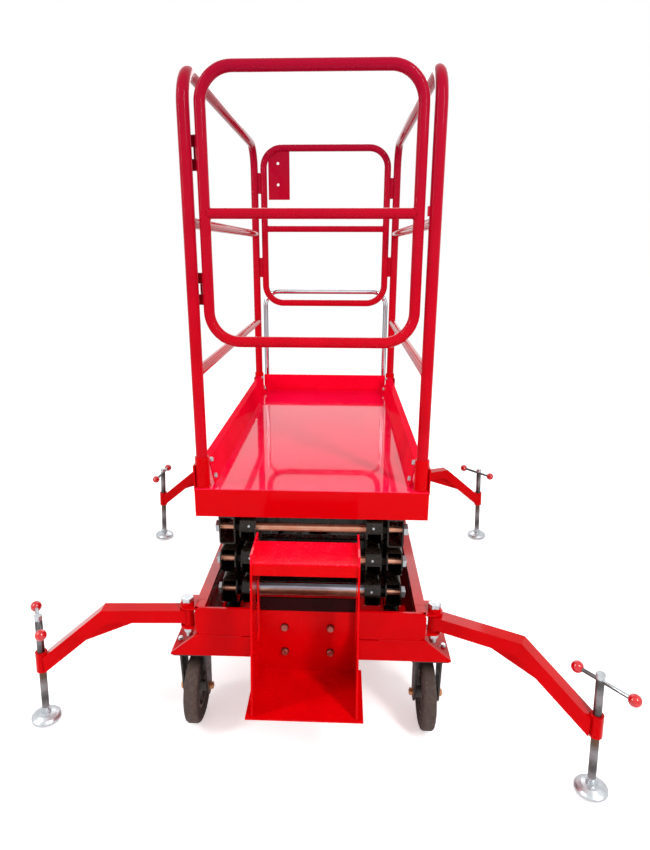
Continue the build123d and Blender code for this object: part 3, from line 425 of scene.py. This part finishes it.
def boltCopper(s):
    # blackened washers under coppery hexagon heads
    mat, tree, shader, coords = startMaterial("boltCopper", {"Metallic": 0.9})
    along = addNode(tree, "ShaderNodeSeparateXYZ", {}, {0: coords}).outputs[1]
    head = blend(tree, s["head"], (blotches(tree, coords, s["tone"], detail=4.0), s["dark"]))
    front = zone(tree, along, high=(middle[1] - s["headAt"], s["headSoft"]))
    finishMaterial(tree, shader, blend(tree, s["washer"], (front, head)),
                   blotches(tree, coords, s["dull"], *s["rough"]),
                   (blotches(tree, coords, s["grain"]), s["grainDepth"]))
    return mat


slots = {"red_enamel": redEnamel("redEnamel", enamelSet), "black_enamel": blackEnamel(blackSet),
         "steel": pinSteel("pinSteel", pinSet), "zinc": zincPlate("jackZinc", zincSet, True),
         "chrome": chromePlate(chromeSet), "hub_grey": hubPaint(hubSet), "knob_red": knobPhenolic(knobSet)}
boltZinc = zincPlate("boltZinc", zincSet, False)
railEnamel = redEnamel("railEnamel", railSet)
shaftReflectionEdge = (0.3968, 0.0015)  # the low shaft's top above this edge is pale steel and copper below it: painted reflection
own = {"deck_tray": deckEnamel(deckSet), "step_bracket": stepEnamel(treadSet), "outrigger_pivots": boltZinc,
       "low_inner_pins": pinSteel("shaftSteel", pinSet, shaftReflectionEdge), "toe_boards": redEnamel("boardEnamel", boardSet),
       "left_guard": railEnamel, "right_guard": railEnamel, "rear_gate": railEnamel, "front_gate": railEnamel}
bySlot = {p["node"]: p["material_slot"] for p in frame["record"]["subparts"]}
for name, obj in nodes.items():
    low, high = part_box(name)
    if name.endswith("_tyre"):
        material = wheelRubber(name + "Rubber", rubberSet, tuple((low + high) / 2))
    elif name.endswith("_fork"):
        material = forkPaint(name + "Paint", forkSet, [(low.x + high.x) / 2])
    elif name == "front_forks":
        material = forkPaint("frontForkPaint", forkSet, [middle[0] + side * forkSet["frontAcross"] for side in (-1, 1)])
    else:
        material = own.get(name) or slots[bySlot[name]]
    obj.data.materials.clear()
    obj.data.materials.append(material)
print("materials set")


def gridFaces(rows, columns):
    # quads of a grid whose columns run round and close on themselves
    r = np.arange(rows - 1)[:, None]
    c = np.arange(columns)[None, :]
    nextC = (c + 1) % columns
    return np.stack([r * columns + c, r * columns + nextC, (r + 1) * columns + nextC, (r + 1) * columns + c],
                    axis=-1).reshape(-1, 4)


def toFrame(points):
    # millimetres from the deck's middle to metres in the frame, for a whole array
    return points.reshape(-1, 3) / 1000.0 + np.array((middle[0], middle[1], 0.0))


sharpAngle = 38.0


def makePiece(name, parts, material, body):
    # joins (points, faces) arrays to one mesh that rides on a body
    points, faces, start = [], [], 0
    for p, f in parts:
        points.append(p)
        faces.append(f + start)
        start += len(p)
    points = np.concatenate(points).astype(np.float32)
    faces = np.concatenate(faces)
    mesh = bpy.data.meshes.new(name)
    mesh.vertices.add(len(points))
    mesh.vertices.foreach_set("co", points.ravel())
    mesh.loops.add(faces.size)
    mesh.loops.foreach_set("vertex_index", faces.ravel().astype(np.int32))
    mesh.polygons.add(len(faces))
    mesh.polygons.foreach_set("loop_start", np.arange(0, faces.size, 4, dtype=np.int32))
    mesh.update(calc_edges=True)
    mesh.validate()
    mesh.shade_smooth()
    mesh.set_sharp_from_angle(angle=math.radians(sharpAngle))
    mesh.materials.append(material)
    obj = bpy.data.objects.new(name, mesh)
    bpy.context.collection.objects.link(obj)
    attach(obj, body)
    return obj


def aimed(points, origin, axis):
    # local Z turned to an axis, then moved; points in mm from the deck's middle
    z = np.array(axis, float) / np.linalg.norm(axis)
    x = np.cross((0.0, 0.0, 1.0), z)
    x = np.array((1.0, 0.0, 0.0)) if np.linalg.norm(x) < 1e-6 else x / np.linalg.norm(x)
    y = np.cross(z, x)
    return toFrame(points[:, :1] * x + points[:, 1:2] * y + points[:, 2:] * z + np.array(origin, float))


boltSet = {"across": 13.0, "head": 6.0, "washer": 16.0, "washerThick": 1.5, "bevel": 1.2, "crown": 0.86, "steps": 24}


def boltHead(s, origin, axis, scale=1.0):
    # a row of radii up the head: radius = flat/cos(angle to the nearest flat) on hexagon rows, constant on round rows
    turn = np.linspace(0, 2 * np.pi, s["steps"], endpoint=False)
    flat, thick = s["across"] / 2, s["washerThick"]
    hexRadius = flat / np.cos((turn + np.pi / 6) % (np.pi / 3) - np.pi / 6)
    # columns: hexagon or round, share of the hexagon's radius or the round radius, height
    rows = [(False, 0.0, 0.0), (False, s["washer"] / 2, 0.0), (False, s["washer"] / 2, thick), (False, flat, thick),
            (True, 1.0, thick + 0.05), (True, 1.0, thick + s["head"] - s["bevel"]),
            (True, s["crown"], thick + s["head"]), (False, 0.0, thick + s["head"] * 0.96)]
    radius = np.array([hexRadius * r if hexagon else np.full_like(turn, max(r, 0.01)) for hexagon, r, _ in rows])
    up = np.array([z for _, _, z in rows])[:, None] + np.zeros_like(radius)
    points = np.stack([radius * np.cos(turn), radius * np.sin(turn), up], axis=-1).reshape(-1, 3) * scale
    return aimed(points, origin, axis), gridFaces(len(rows), s["steps"])


weldSet = {"ripple": 0.18, "pitch": 4.0, "round": 8}


def weldBead(s, path, closed, radius):
    # a circle carried along a path; its radius swells by ripple*|sin(pi*length/pitch)|, like stacked coins
    path = np.array(path, float)
    ahead = np.roll(path, -1, axis=0) if closed else np.concatenate([path[1:], path[-1:] * 2 - path[-2:-1]])
    behind = np.roll(path, 1, axis=0) if closed else np.concatenate([path[:1] * 2 - path[1:2], path[:-1]])
    along = ahead - behind
    along /= np.linalg.norm(along, axis=1, keepdims=True)
    guide = np.where(np.abs(along[:, 2:]) > 0.9, np.array([[1.0, 0.0, 0.0]]), np.array([[0.0, 0.0, 1.0]]))
    side = np.cross(along, guide)
    side /= np.linalg.norm(side, axis=1, keepdims=True)
    up = np.cross(side, along)
    length = np.concatenate([[0.0], np.cumsum(np.linalg.norm(np.diff(path, axis=0), axis=1))])
    swell = radius * (1 - s["ripple"] + 2 * s["ripple"] * np.abs(np.sin(np.pi * length / s["pitch"])))
    if not closed:
        swell[0] = swell[-1] = 0.05
    turn = np.linspace(0, 2 * np.pi, s["round"], endpoint=False)
    ring = side[:, None, :] * np.cos(turn)[None, :, None] - up[:, None, :] * np.sin(turn)[None, :, None]
    points = path[:, None, :] + ring * swell[:, None, None]
    faces = gridFaces(len(path), s["round"])
    if closed:
        last = (len(path) - 1) * s["round"]
        c = np.arange(s["round"])
        nextC = (c + 1) % s["round"]
        faces = np.concatenate([faces, np.stack([last + c, last + nextC, nextC, c], axis=-1)])
    return toFrame(points), faces


def straight(first, last, pitch):
    # points along a line, four to each ripple
    first, last = np.array(first, float), np.array(last, float)
    count = max(3, int(np.linalg.norm(last - first) / pitch * 4))
    return first + (last - first) * np.linspace(0, 1, count)[:, None]


def saddle(centre, tube, post, facing, alongX=False, steps=40):
    # where a level tube meets an upright post: reach = facing*sqrt(post^2 - side^2) round the tube's circle
    a = np.linspace(0, 2 * np.pi, steps, endpoint=False)
    side = tube * np.cos(a)
    reach = facing * np.sqrt(np.maximum(post ** 2 - side ** 2, 0))
    level = (reach, side) if alongX else (side, reach)
    return np.stack([*level, tube * np.sin(a)], axis=-1) + np.array(centre)


# the guardrails' and gates' welds; the gates' middle bars run along X, the guards' rails along Y
guardSet = {"postX": 291.0, "postY": 565.0, "post": 15.0, "rail": 13.5, "railHeights": (1373.0, 1009.0),
            "railBead": 1.7, "gateHalf": 252.5, "gatePost": 13.5, "gateBar": 12.5, "gateHeight": 1393.0,
            "gateBead": 1.6, "ring": 19.6, "ringHeight": 701.0, "ringBead": 1.8, "ringSteps": 60}


def guardWelds(s, side):
    return [weldBead(weldSet, saddle((side * s["postX"], end * s["postY"], z), s["rail"], s["post"], -end), True,
                     s["railBead"]) for end in (-1, 1) for z in s["railHeights"]]


def gateWelds(s, end):
    return [weldBead(weldSet, saddle((side * s["gateHalf"], end * s["postY"], s["gateHeight"]), s["gateBar"],
                                     s["gatePost"], -side, True), True, s["gateBead"]) for side in (-1, 1)]


def socketRings(s):
    # a circle round the foot of each socket: radius*(cos, sin)
    turn = np.linspace(0, 2 * np.pi, s["ringSteps"], endpoint=False)
    ring = np.stack([s["ring"] * np.cos(turn), s["ring"] * np.sin(turn), 0 * turn + s["ringHeight"]], axis=-1)
    return [weldBead(weldSet, ring + np.array((sx * s["postX"], sy * s["postY"], 0.0)), True, s["ringBead"])
            for sx in (-1, 1) for sy in (-1, 1)]


makePiece("leftGuardWelds", guardWelds(guardSet, -1), railEnamel, "platform")
makePiece("rightGuardWelds", guardWelds(guardSet, 1), railEnamel, "platform")
makePiece("entryGateWelds", gateWelds(guardSet, -1), railEnamel, "entry_gate")
makePiece("rearGateWelds", gateWelds(guardSet, 1), railEnamel, "platform")
makePiece("socketWelds", socketRings(guardSet), slots["red_enamel"], "platform")

# the base's welds: level seams under the end plates, beside the step and the rails, and upright ones at their ends
seamSet = {"levelY": (-665.5, 649.5), "levelHeight": 306.0, "runs": ((-306.0, -188.0), (-125.0, 125.0), (188.0, 306.0)),
           "levelBead": 2.2, "uprightX": 309.0, "uprightY": (-657.0, 641.0), "upright": (322.0, 372.0),
           "uprightBead": 2.0, "pitch": 5.0}


def baseSeams(s):
    z = s["levelHeight"]
    seams = [weldBead(weldSet, straight((x0, y, z), (x1, y, z), s["pitch"]), False, s["levelBead"])
             for y in s["levelY"] for x0, x1 in s["runs"]]
    low, high = s["upright"]
    for x in (-s["uprightX"], s["uprightX"]):
        seams += [weldBead(weldSet, straight((x, y, low), (x, y, high), s["pitch"]), False, s["uprightBead"])
                  for y in s["uprightY"]]
    return seams


makePiece("baseWelds", baseSeams(seamSet), slots["red_enamel"], "chassis")

# bolts: in the caster decks, behind the step, and through the toe boards, which lean out by a fifth
placeSet = {"deckHeight": 247.0, "outerX": 370.0, "outerY": (-605.0, 590.0), "innerX": 284.0, "innerY": (568.0, 600.0),
            "stepX": (-66.0, 56.0), "stepY": -671.0, "stepHeights": (343.0, 268.0), "stepScale": 1.3,
            "boardX": 262.0, "boardFoot": 700.0, "boardLean": 0.2, "boardY": 534.0, "boardHeights": (718.0, 764.0),
            "boardScale": 0.95}


def deckBolts(s):
    spots = [(sx * s["outerX"], y) for sx in (-1, 1) for y in s["outerY"]]
    spots += [(sx * s["innerX"], y) for sx in (-1, 1) for y in s["innerY"]]
    return [boltHead(boltSet, (x, y, s["deckHeight"]), (0, 0, 1)) for x, y in spots]


def stepHeads(s):
    return [boltHead(boltSet, (x, s["stepY"], z), (0, -1, 0), s["stepScale"])
            for x in s["stepX"] for z in s["stepHeights"]]


def boardHeads(s):
    heads = []
    for sx in (-1, 1):
        for sy in (-1, 1):
            for z in s["boardHeights"]:
                spot = (sx * (s["boardX"] + (z - s["boardFoot"]) * s["boardLean"]), sy * s["boardY"], z)
                heads.append(boltHead(boltSet, spot, (-sx, 0, s["boardLean"]), s["boardScale"]))
    return heads


makePiece("casterBolts", deckBolts(placeSet), boltZinc, "chassis")
makePiece("stepBolts", stepHeads(placeSet), boltCopper(copperSet), "chassis")
makePiece("boardBolts", boardHeads(placeSet), boltZinc, "platform")

# the frame's end plates: thin rounded plates on the open ends of the rails, with a ledge behind them
endSet = {"front": -666.0, "rear": 650.0, "half": 310.0, "low": 306.0, "top": 390.0, "bottom": 247.0, "thick": 8.0,
          "corner": 20.0, "railEnd": 42.0, "flange": 28.0, "sheet": 6.0, "ledgeIn": 14.0, "ledge": (6.5, 14.0)}


def slab(x0, x1, z0, z1, y0, y1, corner=0.5, bevel=0.3):
    # a rounded rectangle, corner*(cos, sin) about each corner's centre, carried along Y between bevelled rims
    t = np.linspace(0, np.pi / 2, 9)
    turn = np.concatenate([t + k * np.pi / 2 for k in range(4)])
    cx = np.repeat([x1 - corner, x0 + corner, x0 + corner, x1 - corner], 9)
    cz = np.repeat([z1 - corner, z1 - corner, z0 + corner, z0 + corner], 9)
    # columns: share of the full outline, inset from it, place along Y
    rows = [(0.001, 0.0, y0), (1.0, bevel, y0), (1.0, 0.0, y0 + bevel), (1.0, 0.0, y1 - bevel), (1.0, bevel, y1),
            (0.001, 0.0, y1)]
    mx, mz = (x0 + x1) / 2, (z0 + z1) / 2
    grid = []
    for spread, inset, y in rows:
        r = max(corner - inset, 0.01)
        x, z = cx + r * np.cos(turn), cz + r * np.sin(turn)
        grid.append(np.stack([mx + (x - mx) * spread, y + 0 * x, mz + (z - mz) * spread], axis=-1))
    return toFrame(np.concatenate(grid)), gridFaces(len(rows), len(turn))[:, ::-1]


def endFrame(s, face, inward):
    # one plate, the last of each rail behind it, and the ledge between the caster decks' flanges
    def run(near, far):
        return sorted((face + inward * near, face + inward * far))
    parts = [slab(-s["half"], s["half"], s["low"], s["top"], *run(0.0, s["thick"]), s["corner"], 0.8)]
    railRun = run(s["thick"] - 1.0, s["railEnd"])
    for side in (-1, 1):
        outer = s["half"] - 1.0
        web = sorted((side * outer, side * (outer - s["sheet"])))
        flange = sorted((side * outer, side * (s["half"] - s["flange"])))
        parts.append(slab(*web, s["bottom"] + 0.5, s["top"] - 0.6, *railRun))
        parts.append(slab(*flange, s["top"] - s["sheet"], s["top"] - 0.5, *railRun))
        parts.append(slab(*flange, s["bottom"] + 0.5, s["bottom"] + s["sheet"], *railRun))
    ledgeHalf = s["half"] - s["ledgeIn"]
    parts.append(slab(-ledgeHalf, ledgeHalf, s["low"] - s["sheet"], s["low"] + 0.5, *run(*s["ledge"])))
    return parts


endPlates = makePiece("endPlates", endFrame(endSet, endSet["front"], 1) + endFrame(endSet, endSet["rear"], -1),
                      slots["red_enamel"], "chassis")
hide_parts("end_beams")

# grease nipples in the noses of the inner arms
noseSet = {"levels": {"low": 388.0, "middle": 484.0, "top": 580.0}, "across": 167.0, "pin": -560.0, "slope": 26.0,
           "collar": 0.42, "radius": 2.4, "height": 5.0, "rows": 6, "steps": 14}


def nippleDome(s, origin, axis):
    # a quarter ellipse turned about the axis: radius*cos(t), height*sin(t)
    t = np.linspace(0, np.pi / 2, s["rows"])[:, None]
    turn = np.linspace(0, 2 * np.pi, s["steps"], endpoint=False)[None, :]
    wide = s["radius"] * np.maximum(np.cos(t), 0.01)
    points = np.stack([wide * np.cos(turn), wide * np.sin(turn), s["height"] * np.sin(t) + 0 * turn], axis=-1)
    base = np.stack([0.01 * np.cos(turn), 0.01 * np.sin(turn), 0 * turn], axis=-1)
    return aimed(np.concatenate([base, points]).reshape(-1, 3), origin, axis), gridFaces(s["rows"] + 1, s["steps"])


slope = math.radians(noseSet["slope"])
outward = (0, -math.cos(slope), math.sin(slope))
for level, height in noseSet["levels"].items():
    nose = (middle[1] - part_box(level + "_inner_arms")[0].y) * 1000.0 + noseSet["pin"]
    nipples = []
    for side in (-1, 1):
        spot = (side * noseSet["across"], noseSet["pin"] + nose * outward[1], height + nose * outward[2])
        nipples += [boltHead(boltSet, spot, outward, noseSet["collar"]), nippleDome(noseSet, spot, outward)]
    makePiece(level + "Nipples", nipples, boltZinc, level + "_inner")
print("small pieces made")

floorSet = {"colour": "FFFFFF", "rough": 0.9, "glow": 0.48, "half": 30.0}


def makeFloor(s):
    # a plain white paper floor
    mat, tree, shader, _ = startMaterial("floorPaper", {"Base Color": s["colour"], "Roughness": s["rough"],
                                                        "Specular IOR Level": 0.0, "Emission Color": s["colour"]})
    light = addNode(tree, "ShaderNodeLightPath").outputs
    seen = addNode(tree, "ShaderNodeMath", {"operation": "MAXIMUM"},
                   {0: light["Is Camera Ray"], 1: light["Is Transmission Ray"]}).outputs[0]
    tree.links.new(overlap(tree, seen, s["glow"]), shader.inputs["Emission Strength"])
    h = s["half"]
    mesh = bpy.data.meshes.new("floor")
    mesh.from_pydata([(-h, -h, 0), (h, -h, 0), (h, h, 0), (-h, h, 0)], [], [(0, 1, 2, 3)])
    mesh.materials.append(mat)
    floor = bpy.data.objects.new("floor", mesh)
    bpy.context.collection.objects.link(floor)


lightSet = {"ambient": 0.55, "lamps": {  # columns: place, size, power
    "keyBox": ((1800, -2600, 3000), (0.4, 2.2), 80.0),
    "fillBox": ((-2600, -1600, 2600), (0.35, 2.4), 45.0),
    "backBox": ((0, 3200, 3000), (3.0, 1.2), 30.0)}, "aim": (0, 0, 700)}


def makeWorld(s):
    # white to the camera and in reflections; a little less where it lights the object
    world = bpy.data.worlds.new("studio")
    bpy.context.scene.world = world
    world.use_nodes = True
    tree = world.node_tree
    light = addNode(tree, "ShaderNodeLightPath").outputs
    seen = light["Is Camera Ray"]
    for ray in ("Is Glossy Ray", "Is Transmission Ray"):
        seen = addNode(tree, "ShaderNodeMath", {"operation": "MAXIMUM"}, {0: seen, 1: light[ray]}).outputs[0]
    level = addNode(tree, "ShaderNodeMapRange", {}, {"Value": seen, "To Min": s["ambient"], "To Max": 1.0}).outputs[0]
    tree.nodes["Background"].inputs["Color"].default_value = (1, 1, 1, 1)
    tree.links.new(level, tree.nodes["Background"].inputs["Strength"])


def addLamp(name, at, size, power, aim):
    # a soft box aimed at the object
    data = bpy.data.lights.new(name, "AREA")
    data.shape = "RECTANGLE"
    data.size, data.size_y = size
    data.energy = power
    lamp = bpy.data.objects.new(name, data)
    bpy.context.collection.objects.link(lamp)
    where, target = Vector(place(*at)), Vector(place(*aim))
    lamp.matrix_world = Matrix.Translation(where) @ (target - where).to_track_quat("-Z", "Y").to_matrix().to_4x4()


makeFloor(floorSet)
makeWorld(lightSet)
for name, lamp in lightSet["lamps"].items():
    addLamp(name, *lamp, lightSet["aim"])
print("floor and light set")
